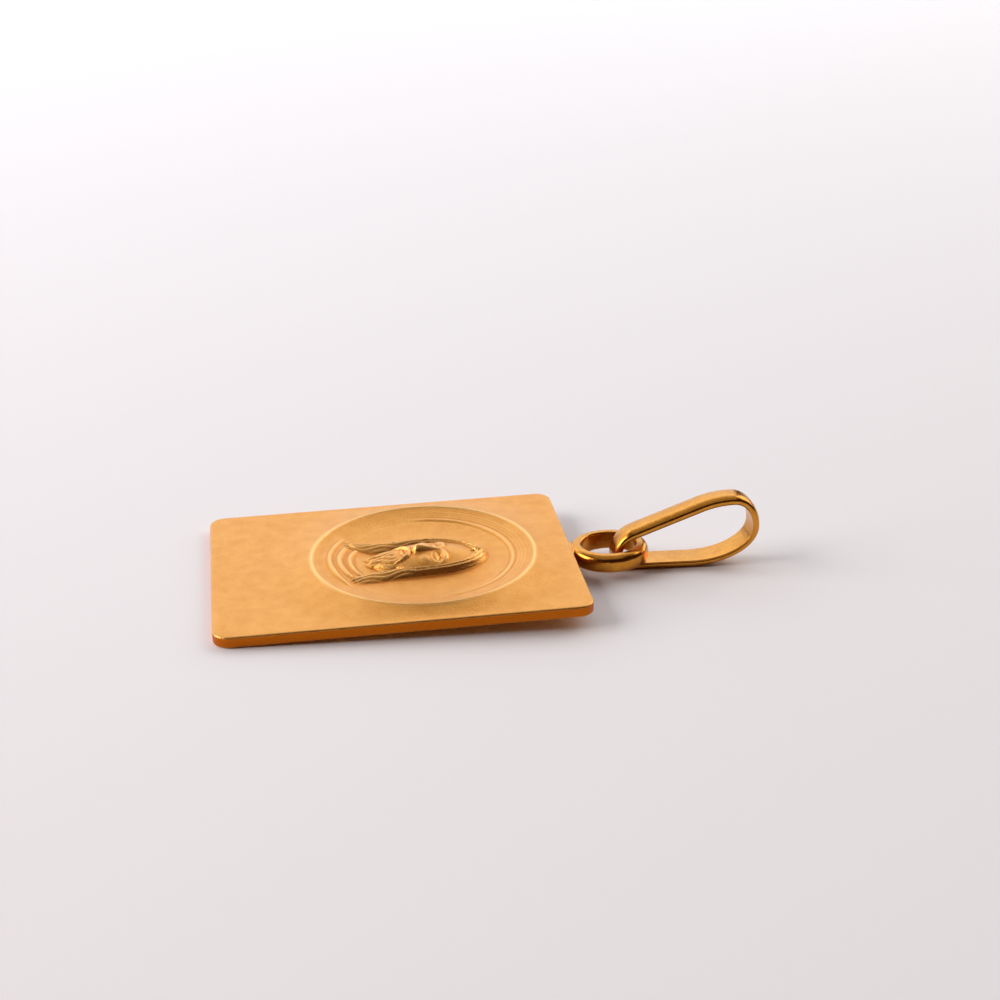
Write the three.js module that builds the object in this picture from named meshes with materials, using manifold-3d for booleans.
// A cast rectangular plaque medal with a relief head in a round sunk field, and its loose teardrop bail.
// Millimetres, +Z up. The medal lies face up: its lower short edge touches the surface, and the eyelet at
// its upper end lies over the lower leg of the bail, which stands on the surface as well.
import * as THREE from "three";
import { mergeVertices } from "three/addons/utils/BufferGeometryUtils.js";
import Module from "manifold-3d";

// Plaque
const plaqueLength = 24;
const plaqueWidth = 18;
const plaqueThickness = 0.74;
const cornerRadius = 1.05;
const edgeBreak = 0.1;

// Round field: its rim stands above the plaque's flat face, and the field falls below it like a saucer
const rimRadius = 7.45;
const rimRise = 0.38;
const rimOffset = 2.06; // from the plaque's middle towards the eyelet
const fieldDepth = 0.55; // below the rim
const fieldSlope = 3.8; // how far in from the rim the field keeps falling
const swellReach = 3.4; // how far out from the rim the plaque keeps falling
const nimbusRadius = 5.95;
const nimbusWidth = 0.36;
const nimbusRise = 0.06;

// Relief: a bearded head with long parted hair and a mantle
const headLength = 6.9; // crown to chin
const headHalfWidth = 2.42; // without the hair beside it
const headOffset = 0.85; // middle of the head from the middle of the field, towards the eyelet
const reliefHeight = 1.25;
const reliefBlend = 0.04; // rounding where two forms meet, as a share of reliefHeight
const reliefFade = 0.9; // width of the ring inside the rim in which the relief runs out

// Eyelet, soldered to the plaque's edge
const eyeletLength = 5.36;
const eyeletWidth = 4.9;
const eyeletBand = 0.8;
const eyeletHeight = 1.25;
const eyeletDrop = 0.65; // its middle below the plaque's flat face
const eyeletSeat = 0.05; // how deep its end sits in the plaque's edge
const solderWidth = 2.3;
const solderHeight = 0.5;
const solderShape = { turn: 0.42, waist: 0.67, tip: 0.5 }; // way to the band, then shares of its half width

// Bail: a strip bent to a teardrop loop
const bailLength = 10.15;
const bailHeight = 5.1;
const bailWidth = 1.85;
const bailStrip = 0.55;
const bailSlack = 1.18; // free way between the eyelet's end and the inside of the bail's nose
const restGap = 0.06; // between the eyelet's underside and the bail's lower leg

// Facets: a square grid over the head, and steps along the eyelet, each side of the solder and each arc of
// the bail
const gridRows = 46;
const gridColumns = 32;
const eyeletSteps = 48;
const solderSteps = 4;
const bailArcSteps = 5;

// Rounded forms of the head. Across and up are places on the mirrored half, from the middle of the head,
// as shares of headHalfWidth and headLength, like their radii. Rise is a share of reliefHeight.
// Fullness is the power of the dome: 0.5 is an ellipsoid, 1 a paraboloid, and 2 runs out softly.
const domes = {
  skull: { across: 0, up: 0, wide: 1, long: 0.5, rise: 0.55, fullness: 0.7 },
  face: { across: 0, up: -0.1, wide: 0.84, long: 0.44, rise: 0.7, fullness: 0.6 },
  beard: { across: 0, up: -0.42, wide: 0.64, long: 0.25, rise: 0.58, fullness: 0.7 },
  beardPoint: { across: 0.15, up: -0.56, wide: 0.2, long: 0.16, rise: 0.45, fullness: 0.8 },
  mantle: { across: 0, up: -1.06, wide: 1.7, long: 0.47, rise: 0.22, fullness: 0.9 },
};
const features = [
  { name: "forehead", across: 0, up: 0.2, wide: 0.6, long: 0.15, rise: 0.05, fullness: 2 },
  { name: "eye socket", across: 0.36, up: 0, wide: 0.27, long: 0.062, rise: -0.15, fullness: 2 },
  { name: "eyelid", across: 0.35, up: -0.008, wide: 0.18, long: 0.034, rise: 0.1, fullness: 1 },
  { name: "cheek", across: 0.47, up: -0.125, wide: 0.27, long: 0.075, rise: 0.07, fullness: 2 },
  { name: "nostril", across: 0.14, up: -0.2, wide: 0.09, long: 0.03, rise: 0.11, fullness: 1.3 },
  { name: "lower lip", across: 0, up: -0.335, wide: 0.17, long: 0.02, rise: 0.1, fullness: 1.5 },
];

// Tapered ridges, each through stations of [across, up, half width, rise] in the same shares
const ridges = [
  {
    name: "brow",
    fullness: 2,
    stations: [
      [0.07, 0.045, 0.08, 0.05],
      [0.22, 0.078, 0.1, 0.09],
      [0.42, 0.08, 0.1, 0.09],
      [0.64, 0.02, 0.06, 0.03],
    ],
  },
  {
    name: "nose",
    fullness: 1.3,
    stations: [
      [0, 0.08, 0.07, 0.02],
      [0, 0, 0.1, 0.1],
      [0, -0.17, 0.17, 0.32],
      [0, -0.195, 0.15, 0.3],
    ],
  },
  {
    name: "moustache",
    fullness: 1.6,
    stations: [
      [0, -0.255, 0.06, 0.09],
      [0.16, -0.272, 0.09, 0.14],
      [0.32, -0.325, 0.085, 0.13],
      [0.43, -0.42, 0.05, 0.05],
    ],
  },
  {
    name: "parting",
    fullness: 2,
    stations: [
      [0, 0.3, 0.08, -0.04],
      [0, 0.46, 0.07, -0.06],
    ],
  },
];
const mantleFolds = [
  [[0, -0.83, 0.1, 0.12], [0.25, -0.823, 0.1, 0.12], [0.6, -0.785, 0.09, 0.1], [1, -0.71, 0.07, 0.05]],
  [[0, -0.93, 0.11, 0.11], [0.3, -0.92, 0.11, 0.11], [0.8, -0.865, 0.1, 0.09], [1.3, -0.77, 0.07, 0.04]],
];
const foldFullness = 1.5;
const dressBlend = 0.1; // rise over which the mantle's folds fade in, as a share of reliefHeight

// The hair is a band round the face. Down to the level where the face is widest it lies between an oval and
// the same oval grown by band. Below that, its edges are tables of [up, across], and so is its rise.
const hair = { level: -0.087, wide: 0.7, long: 0.4, band: 0.46, fullness: 0.65, tip: -0.9, tipBlend: 0.14 };
const hairInner = [[-0.087, 0.7], [-0.3, 0.67], [-0.45, 0.62], [-0.6, 0.62], [-0.75, 0.74], [-0.9, 0.9]];
const hairOuter = [[-0.087, 1.022], [-0.3, 1.05], [-0.45, 1.1], [-0.6, 1.18], [-0.75, 1.28], [-0.9, 1.38]];
const hairRise = [[0.1, 0.5], [-0.1, 0.5], [-0.3, 0.45], [-0.5, 0.38], [-0.7, 0.29], [-0.85, 0.18]];

// The beard lies sunk into the face down to its line, and stands free below it
const beardLine = { up: -0.33, step: 0.08, blend: 0.05 };

// The square grid covers the head: its half width is a share of headHalfWidth, its ends are shares of
// headLength from the middle of the head. Rings go on from it: shares of the way to the nimbus, then
// shares of rimRadius, then shares of the way from the rim to the plaque's edge.
const grid = { halfWidth: 1.3, lowest: -0.79, highest: 0.53 };
const hollowRings = [0.33, 0.67, 1];
const wallRings = [0.87, 0.93, 0.97, 1];
const marginRings = [0.1, 0.25, 0.48, 0.78];

// Sections of the strip and the band: [across, depth] as shares of the half width and the thickness
const stripSection = [
  [-0.92, 1],
  [-1, 0.86],
  [-1, 0.42],
  [-0.86, 0.15],
  [-0.45, 0],
  [0.45, 0],
  [0.86, 0.15],
  [1, 0.42],
  [1, 0.86],
  [0.92, 1],
];
const bandSection = [
  [-0.62, 1],
  [-0.92, 0.86],
  [-1, 0.6],
  [-0.94, 0.22],
  [-0.66, 0],
  [0.66, 0],
  [0.94, 0.22],
  [1, 0.6],
  [0.92, 0.86],
  [0.62, 1],
];

// Stations of the teardrop: shares of the bail's length, then shares of its height
const teardrop = {
  legRun: 0.541,
  crownAt: 0.812,
  roundRise: 0.542,
  noseLow: 0.178,
  noseHigh: 0.414,
  crown: 1.3,
};
const nearest = 0.001; // points of the path that lie closer than this are one

const gold = { color: "#e2a95f", roughness: 0.42, metalness: 1 };
const polishedGold = { color: "#dca04e", roughness: 0.22, metalness: 1 };

const wasm = await Module();
wasm.setup();

function smoothStep(value) {
  const t = THREE.MathUtils.clamp(value, 0, 1);
  return t * t * (3 - 2 * t);
}

function smoothMax(a, b) {
  return (a + b + Math.hypot(a - b, reliefBlend) - reliefBlend) / 2;
}

// Value at a place on a table of [up, value] whose rows run downwards
function valueAt(rows, up) {
  const lower = rows.findIndex(([level]) => level < up);
  if (lower === 0) return rows[0][1];
  if (lower < 0) return rows.at(-1)[1];
  const [[upperUp, upperValue], [lowerUp, lowerValue]] = [rows[lower - 1], rows[lower]];
  return THREE.MathUtils.mapLinear(up, upperUp, lowerUp, upperValue, lowerValue);
}

// Height of a dome at a place given in shares of the head
function dome(across, up, form) {
  const inside = 1 - ((across - form.across) / form.wide) ** 2 - ((up - form.up) / form.long) ** 2;
  return form.rise * Math.max(inside, 0) ** form.fullness;
}

// Height of a tapered ridge: the strongest of its stretches
function ridge(across, up, stations, fullness) {
  const x = across * headHalfWidth;
  const y = up * headLength;
  let best = 0;
  for (let i = 1; i < stations.length; i += 1) {
    const [x0, y0, w0, h0] = scaled(stations[i - 1]);
    const [x1, y1, w1, h1] = scaled(stations[i]);
    const along = ((x - x0) * (x1 - x0) + (y - y0) * (y1 - y0)) / ((x1 - x0) ** 2 + (y1 - y0) ** 2);
    const t = THREE.MathUtils.clamp(along, 0, 1);
    const away = Math.hypot(x - x0 - t * (x1 - x0), y - y0 - t * (y1 - y0)) / (w0 + t * (w1 - w0));
    const height = (h0 + t * (h1 - h0)) * Math.max(1 - away ** 2, 0) ** fullness;
    best = Math.abs(height) > Math.abs(best) ? height : best;
  }
  return best;
}

function scaled([across, up, halfWidth, rise]) {
  return [across * headHalfWidth, up * headLength, halfWidth * headHalfWidth, rise];
}

// Height of the band of hair
function hairHeight(across, up) {
  const oval = Math.hypot(across / hair.wide, (up - hair.level) / hair.long);
  const inner = valueAt(hairInner, up);
  const outer = valueAt(hairOuter, up);
  const place = up > hair.level ? (oval - 1) / hair.band : (across - inner) / (outer - inner);
  const round = Math.max(1 - (2 * place - 1) ** 2, 0) ** hair.fullness;
  return valueAt(hairRise, up) * round * smoothStep((up - hair.tip) / hair.tipBlend);
}

// Height of the relief above the field, at a place from the middle of the field: x towards the eyelet
function relief(x, y) {
  const across = Math.abs(y) / headHalfWidth;
  const up = (x - headOffset) / headLength;
  let height = smoothMax(dome(across, up, domes.skull), dome(across, up, domes.face));
  for (const form of features) height += dome(across, up, form);
  const beard = smoothMax(dome(across, up, domes.beard), dome(across, up, domes.beardPoint));
  const bearded = smoothStep((beardLine.up - up) / beardLine.blend);
  height = smoothMax(height, beard - beardLine.step * (1 + 2 * (1 - bearded)));
  height = smoothMax(height, hairHeight(across, up));
  for (const form of ridges) height += ridge(across, up, form.stations, form.fullness);
  const mantle = dome(across, up, domes.mantle);
  height = smoothMax(height, mantle);
  for (const fold of mantleFolds) {
    height += ridge(across, up, fold, foldFullness) * smoothStep(mantle / dressBlend);
  }
  return reliefHeight * height;
}

// Distance from the middle of the field to the plaque's outline, set in by an amount, along a ray
function reach(angle, inset) {
  const dx = Math.cos(angle);
  const dy = Math.abs(Math.sin(angle));
  const endX = Math.sign(dx || 1) * (plaqueLength / 2 - inset) - rimOffset;
  const endY = plaqueWidth / 2 - inset;
  const straight = Math.min(endX / (dx || Number.EPSILON), endY / (dy || Number.EPSILON));
  const centreX = endX - Math.sign(dx || 1) * (cornerRadius - inset);
  const centreY = endY - (cornerRadius - inset);
  const inCorner = Math.abs(straight * dx) > Math.abs(centreX) && straight * dy > centreY;
  if (!inCorner) return straight;
  const along = centreX * dx + centreY * dy;
  const offRay = centreX * dy - centreY * dx;
  return along + Math.sqrt(Math.max((cornerRadius - inset) ** 2 - offRay ** 2, 0));
}

// Height of the plaque's face at a distance from the middle of the field, where the outline lies at edge
function faceHeight(x, y, edge) {
  const radius = Math.hypot(x, y);
  if (radius >= rimRadius) {
    const out = (radius - rimRadius) / Math.min(swellReach, edge - rimRadius);
    return rimRise * (1 - smoothStep(0.5 + out / 2)) * 2;
  }
  const inward = Math.min(rimRadius - radius, fieldSlope) / fieldSlope;
  const field = rimRise - fieldDepth * inward * (2 - inward);
  const band = Math.max(1 - (2 * (radius - nimbusRadius) / nimbusWidth) ** 2, 0);
  const nimbus = nimbusRise * band * smoothStep((x + headOffset) / headHalfWidth);
  return field + nimbus + relief(x, y) * smoothStep((rimRadius - radius - reliefFade / 2) / reliefFade);
}

// Rings from the square grid over the rim and down the plaque's edge: each gives the distance from the
// middle of the field along a spoke, and the height where it isn't the face's own
function rings() {
  const { lerp } = THREE.MathUtils;
  const nimbusInner = nimbusRadius - nimbusWidth / 2;
  return [
    ...hollowRings.map((share) => (spoke) => [lerp(spoke.grid, nimbusInner, share), null]),
    () => [nimbusRadius, null],
    () => [nimbusRadius + nimbusWidth / 2, null],
    ...wallRings.map((share) => () => [share * rimRadius, null]),
    ...marginRings.map((share) => (spoke) => [lerp(rimRadius, spoke.edge, share), null]),
    (spoke) => [spoke.edge, 0],
    (spoke) => [spoke.outline, -edgeBreak],
    (spoke) => [spoke.outline, edgeBreak - plaqueThickness],
    (spoke) => [spoke.edge, -plaqueThickness],
  ];
}

// The plaque as one closed body: a square grid carries the head, rings of points on spokes go on from its
// border over the rim to the outline and down the edge, and a fan closes the flat back.
function plaqueGeometry() {
  const positions = [];
  const triangles = [];
  const place = (x, y, z) => positions.push(x + rimOffset, y, z) / 3 - 1;
  const low = headOffset + grid.lowest * headLength;
  const rowStep = ((grid.highest - grid.lowest) * headLength) / gridRows;
  const columnStep = (2 * grid.halfWidth * headHalfWidth) / gridColumns;
  const at = (row, column) => row * (gridColumns + 1) + column;
  for (let row = 0; row <= gridRows; row += 1) {
    for (let column = 0; column <= gridColumns; column += 1) {
      const x = low + row * rowStep;
      const y = (column - gridColumns / 2) * columnStep;
      place(x, y, faceHeight(x, y, plaqueWidth));
    }
  }
  for (let row = 0; row < gridRows; row += 1) {
    for (let column = 0; column < gridColumns; column += 1) {
      const corners = [at(row, column), at(row + 1, column), at(row + 1, column + 1), at(row, column + 1)];
      triangles.push(corners[0], corners[1], corners[2], corners[0], corners[2], corners[3]);
    }
  }
  let inner = [];
  for (let column = 0; column < gridColumns; column += 1) inner.push(at(gridRows, column));
  for (let row = gridRows; row > 0; row -= 1) inner.push(at(row, gridColumns));
  for (let column = gridColumns; column > 0; column -= 1) inner.push(at(0, column));
  for (let row = 0; row < gridRows; row += 1) inner.push(at(row, 0));
  const spokes = inner.map((vertex) => {
    const x = positions[3 * vertex] - rimOffset;
    const y = positions[3 * vertex + 1];
    const angle = Math.atan2(y, x);
    return { angle, grid: Math.hypot(x, y), edge: reach(angle, edgeBreak), outline: reach(angle, 0) };
  });
  const count = spokes.length;
  for (const ring of rings()) {
    const outer = spokes.map((spoke) => {
      const [radius, height] = ring(spoke);
      const x = radius * Math.cos(spoke.angle);
      const y = radius * Math.sin(spoke.angle);
      return place(x, y, height ?? faceHeight(x, y, spoke.edge));
    });
    for (let k = 0; k < count; k += 1) {
      const next = (k + 1) % count;
      triangles.push(inner[k], outer[k], outer[next], inner[k], outer[next], inner[next]);
    }
    inner = outer;
  }
  const back = place(0, 0, -plaqueThickness);
  for (let k = 0; k < count; k += 1) triangles.push(inner[k], back, inner[(k + 1) % count]);
  return indexed(positions, triangles);
}

function indexed(positions, triangles) {
  const geometry = new THREE.BufferGeometry();
  geometry.setAttribute("position", new THREE.Float32BufferAttribute(positions, 3));
  geometry.setIndex(triangles);
  geometry.computeVertexNormals();
  return geometry;
}

// A closed strip along a closed path of 2-D points: depth is measured inwards from the path
function stripLoop(path, section, halfWidth, thickness, toPoint) {
  const positions = [];
  const triangles = [];
  const count = path.length;
  const sides = section.length;
  path.forEach((point, i) => {
    const tangent = path[(i + 1) % count].clone().sub(path[(i + count - 1) % count]).normalize();
    for (const [across, depth] of section) {
      const x = point.x - tangent.y * depth * thickness;
      const y = point.y + tangent.x * depth * thickness;
      positions.push(...toPoint(x, y, across * halfWidth));
    }
  });
  for (let i = 0; i < count; i += 1) {
    for (let k = 0; k < sides; k += 1) {
      const a = i * sides + k;
      const b = i * sides + ((k + 1) % sides);
      const c = ((i + 1) % count) * sides + k;
      const d = ((i + 1) % count) * sides + ((k + 1) % sides);
      triangles.push(a, c, d, a, d, b);
    }
  }
  return indexed(positions, triangles);
}

const eyeletCentre = plaqueLength / 2 - eyeletSeat + eyeletLength / 2;

function eyeletGeometry() {
  const oval = new THREE.EllipseCurve(eyeletCentre, 0, eyeletLength / 2, eyeletWidth / 2);
  const path = oval.getPoints(eyeletSteps).slice(1);
  const toPoint = (x, y, across) => [x, y, across - eyeletDrop];
  return stripLoop(path, bandSection, eyeletHeight / 2, eyeletBand, toPoint);
}

// Solder: a bridge with hollow sides from inside the plaque's edge to the middle of the band
function solderGeometry() {
  const edge = plaqueLength / 2;
  const start = edge - edgeBreak - eyeletSeat;
  const end = edge - eyeletSeat + eyeletBand / 2;
  const turn = THREE.MathUtils.lerp(edge, end, solderShape.turn);
  const half = solderWidth / 2;
  const waist = half * solderShape.waist;
  const tip = half * solderShape.tip;
  const bridge = new THREE.Shape();
  bridge.moveTo(start, -half);
  bridge.lineTo(edge, -half);
  bridge.quadraticCurveTo(turn, -waist, end, -tip);
  bridge.lineTo(end, tip);
  bridge.quadraticCurveTo(turn, waist, edge, half);
  bridge.lineTo(start, half);
  const options = { depth: solderHeight, bevelEnabled: false, curveSegments: solderSteps };
  const geometry = new THREE.ExtrudeGeometry(bridge, options);
  geometry.translate(0, 0, -(plaqueThickness + solderHeight) / 2);
  return geometry;
}

function solid(geometry) {
  const bare = geometry.clone();
  bare.deleteAttribute("normal");
  if (bare.hasAttribute("uv")) bare.deleteAttribute("uv");
  const merged = mergeVertices(bare);
  return new wasm.Manifold(new wasm.Mesh({
    numProp: 3,
    vertProperties: merged.attributes.position.array,
    triVerts: new Uint32Array(merged.index.array),
  }));
}

function geometryOf(manifold) {
  const mesh = manifold.getMesh();
  return indexed(Array.from(mesh.vertProperties), Array.from(mesh.triVerts));
}

// Outline of the bail's outer side in its own plane: nose at x = 0, lower leg on y = 0
function teardropPath() {
  const low = teardrop.noseLow * bailHeight;
  const high = teardrop.noseHigh * bailHeight;
  const crown = teardrop.crown * bailHeight;
  const crownX = teardrop.crownAt * bailLength;
  const legX = teardrop.legRun * bailLength;
  const roundY = teardrop.roundRise * bailHeight;
  const between = Math.hypot(crownX - high, bailHeight - crown - low);
  const legTurn = Math.atan2(bailHeight - crown - low, crownX - high) + Math.asin((crown - high) / between);
  const outline = new THREE.Path();
  outline.moveTo(low, 0);
  outline.lineTo(legX, 0);
  outline.absellipse(legX, roundY, bailLength - legX, roundY, -Math.PI / 2, 0);
  outline.absellipse(crownX, roundY, bailLength - crownX, bailHeight - roundY, 0, Math.PI / 2);
  outline.absarc(crownX, bailHeight - crown, crown, Math.PI / 2, Math.PI / 2 + legTurn);
  outline.absarc(high, low, high, Math.PI / 2 + legTurn, Math.PI);
  outline.absarc(low, low, low, Math.PI, 1.5 * Math.PI);
  const points = outline.getPoints(bailArcSteps);
  return points.filter((point, i) => point.distanceTo(points[(i + 1) % points.length]) > nearest);
}

// Tilt at which the eyelet's outer end clears the bail's lower leg and the plaque's lower edge touches down
const heelX = plaqueLength / 2 - edgeBreak;
const eyeletEnd = eyeletCentre + eyeletLength / 2;
const leverLength = heelX + eyeletEnd - eyeletBand;
const leverDrop = plaqueThickness - eyeletDrop - eyeletHeight / 2;
const lift = bailStrip + restGap;
const tilt = Math.asin(lift / Math.hypot(leverLength, leverDrop)) - Math.atan2(leverDrop, leverLength);

const medal = new THREE.Mesh(
  geometryOf(solid(plaqueGeometry()).add(solid(eyeletGeometry())).add(solid(solderGeometry()))),
  new THREE.MeshStandardMaterial(gold),
);
medal.name = "medal";
medal.rotation.y = -tilt;
medal.position.z = heelX * Math.sin(tilt) + plaqueThickness * Math.cos(tilt);

const noseX = (eyeletEnd - eyeletBand) * Math.cos(tilt) - bailSlack - bailStrip;
const bail = new THREE.Mesh(
  stripLoop(teardropPath(), stripSection, bailWidth / 2, bailStrip, (x, z, across) => [x, -across, z]),
  new THREE.MeshStandardMaterial(polishedGold),
);
bail.name = "bail";
bail.position.x = noseX;

const pendant = new THREE.Group();
pendant.add(medal, bail);

// The origin is the middle of the underside of the whole pendant's box
const bounds = new THREE.Box3().setFromObject(pendant, true);
const middle = bounds.getCenter(new THREE.Vector3());
pendant.position.set(-middle.x, -middle.y, -bounds.min.z);

export default pendant;
